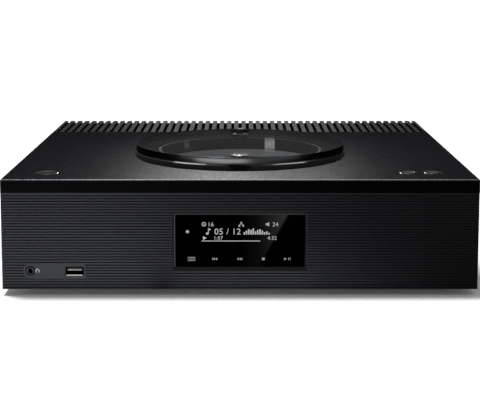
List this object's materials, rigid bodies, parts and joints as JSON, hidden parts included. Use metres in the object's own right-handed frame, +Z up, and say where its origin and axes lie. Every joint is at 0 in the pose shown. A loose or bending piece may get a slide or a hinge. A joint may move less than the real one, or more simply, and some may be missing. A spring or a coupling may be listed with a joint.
{
  "type": "cd receiver",
  "caption": "Low black disc receiver with a grooved front, a display window, a round swinging lid over a top disc well, top buttons and a rear grille of bars.",
  "frame": {"origin": "middle of the footprint, on the surface that the feet stand on", "axes": "+X to the right seen from the front, +Y to the back, +Z up"},
  "size_m": [0.34, 0.341, 0.0948],
  "materials": {
    "black_anodised": "black anodised, fine satin",
    "black_paint": "black powder coat",
    "zinc_steel": "zinc plated sheet",
    "screw_steel": "plated screws",
    "polished_steel": "ground and polished",
    "rubber": "matt black rubber",
    "gloss_black": "gloss black moulding",
    "matte_black": "matt black moulding",
    "lid_metal": "dark anodised, polished",
    "lid_pane": "lightly smoked acrylic",
    "dark_window": "dark clear window",
    "lit_display": "display glass",
    "lamp": "clear blue lamp",
    "brass": "turned brass",
    "nickel": "nickel plate",
    "disc_mirror": "disc with mirror layer",
    "hub_plastic": "moulded turntable",
    "lens_glass": "coated lens",
    "gear_plastic": "ivory moulding",
    "board_green": "solder mask",
    "board_tan": "paper board",
    "core": "ferrite and tape",
    "sleeve_blue": "shrink sleeve",
    "bare_aluminium": "extruded",
    "cap_red": "red moulding",
    "white_plastic": "white moulding"
  },
  "bodies": {
    "chassis": {"bottom_chassis": "zinc_steel", "rear_panel": "black_paint", "left_side_panel": "black_paint", "right_side_panel": "black_paint", "front_panel": "black_anodised", "top_plate": "black_anodised", "rear_grille": "black_anodised", "feet": "rubber", "foot_screws": "screw_steel", "case_screws": "screw_steel", "lid_seat_ring": "gloss_black", "disc_well": "matte_black", "pivot_bush": "brass", "key_boards": "board_green", "key_switches": "matte_black", "display_window": "dark_window", "display_frame": "matte_black", "display_board": "board_green", "display_module": "lit_display", "standby_light": "lamp", "headphone_jack": "matte_black", "usb_shell": "nickel", "usb_tongue": "white_plastic", "jack_board": "board_green", "mechanism_bracket": "zinc_steel", "mechanism_dampers": "rubber", "mechanism_plate": "zinc_steel", "spindle_motor": "zinc_steel", "guide_rods": "polished_steel", "feed_motor": "zinc_steel", "main_board": "board_green", "power_board": "board_tan", "power_transformer": "core", "supply_capacitors": "sleeve_blue", "heat_bridge": "bare_aluminium", "ac_inlet": "matte_black", "terminal_block": "matte_black", "terminal_posts": "brass", "rca_jacks": "nickel", "lan_socket": "nickel"},
    "lid": {"lid_rim": "lid_metal", "lid_window": "lid_pane", "lid_tab": "gloss_black", "pivot_cap": "lid_metal", "pivot_shaft": "polished_steel", "pivot_clip": "polished_steel"},
    "power_key": {"power_button": "black_anodised"},
    "volume_down_key": {"volume_down_button": "black_anodised"},
    "volume_up_key": {"volume_up_button": "black_anodised"},
    "disc_table": {"turntable": "hub_plastic", "hub_grip_balls": "polished_steel", "compact_disc": "disc_mirror"},
    "pickup": {"pickup_sled": "matte_black"},
    "lens": {"pickup_lens": "lens_glass"},
    "gear": {"feed_gear": "gear_plastic"},
    "pinion": {"feed_pinion": "brass"},
    "speaker_cap_1": {"terminal_cap_1": "cap_red"},
    "speaker_cap_2": {"terminal_cap_2": "gloss_black"},
    "speaker_cap_3": {"terminal_cap_3": "cap_red"},
    "speaker_cap_4": {"terminal_cap_4": "gloss_black"}
  },
  "joints": [
    {"name": "lid_swing", "type": "hinge", "parent": "chassis", "child": "lid", "pos_m": [0, 0.0192, 0.09], "axis": [0, 0, 1], "range_deg": [0, 165]},
    {"name": "power_press", "type": "slide", "parent": "chassis", "child": "power_key", "axis": [0, 0, -1], "range_m": [0, 0.0007], "stiffness_N_per_m": 400, "springref_m": -0.001},
    {"name": "volume_down_press", "type": "slide", "parent": "chassis", "child": "volume_down_key", "axis": [0, 0, -1], "range_m": [0, 0.0007], "stiffness_N_per_m": 400, "springref_m": -0.001},
    {"name": "volume_up_press", "type": "slide", "parent": "chassis", "child": "volume_up_key", "axis": [0, 0, -1], "range_m": [0, 0.0007], "stiffness_N_per_m": 400, "springref_m": -0.001},
    {"name": "disc_spin", "type": "hinge", "parent": "chassis", "child": "disc_table", "pos_m": [0, -0.053, 0.078], "axis": [0, 0, 1], "continuous": true},
    {"name": "pickup_slide", "type": "slide", "parent": "chassis", "child": "pickup", "axis": [1, 0, 0], "range_m": [0, 0.036]},
    {"name": "lens_focus", "type": "slide", "parent": "pickup", "child": "lens", "axis": [0, 0, 1], "range_m": [-0.0004, 0.0006], "stiffness_N_per_m": 20},
    {"name": "feed_gear_spin", "type": "hinge", "parent": "chassis", "child": "gear", "pos_m": [0.032, -0.0771, 0.069], "axis": [0, 0, 1], "range_deg": [-380, 12]},
    {"name": "feed_pinion_spin", "type": "hinge", "parent": "chassis", "child": "pinion", "pos_m": [0.0435, -0.0771, 0.069], "axis": [0, 0, 1], "range_deg": [-36, 1080]},
    {"name": "speaker_cap_1_turn", "type": "hinge", "parent": "chassis", "child": "speaker_cap_1", "pos_m": [0.0726, 0.16, 0.0486], "axis": [0, 1, 0], "range_deg": [0, 720]},
    {"name": "speaker_cap_2_turn", "type": "hinge", "parent": "chassis", "child": "speaker_cap_2", "pos_m": [0.0916, 0.16, 0.0486], "axis": [0, 1, 0], "range_deg": [0, 720]},
    {"name": "speaker_cap_3_turn", "type": "hinge", "parent": "chassis", "child": "speaker_cap_3", "pos_m": [0.1196, 0.16, 0.0486], "axis": [0, 1, 0], "range_deg": [0, 720]},
    {"name": "speaker_cap_4_turn", "type": "hinge", "parent": "chassis", "child": "speaker_cap_4", "pos_m": [0.1386, 0.16, 0.0486], "axis": [0, 1, 0], "range_deg": [0, 720]}
  ],
  "couplings": [
    {"joint": "feed_gear_spin", "follows": "pickup_slide", "rad_per_m": -178.57},
    {"joint": "feed_pinion_spin", "follows": "pickup_slide", "rad_per_m": 505.95}
  ]
}
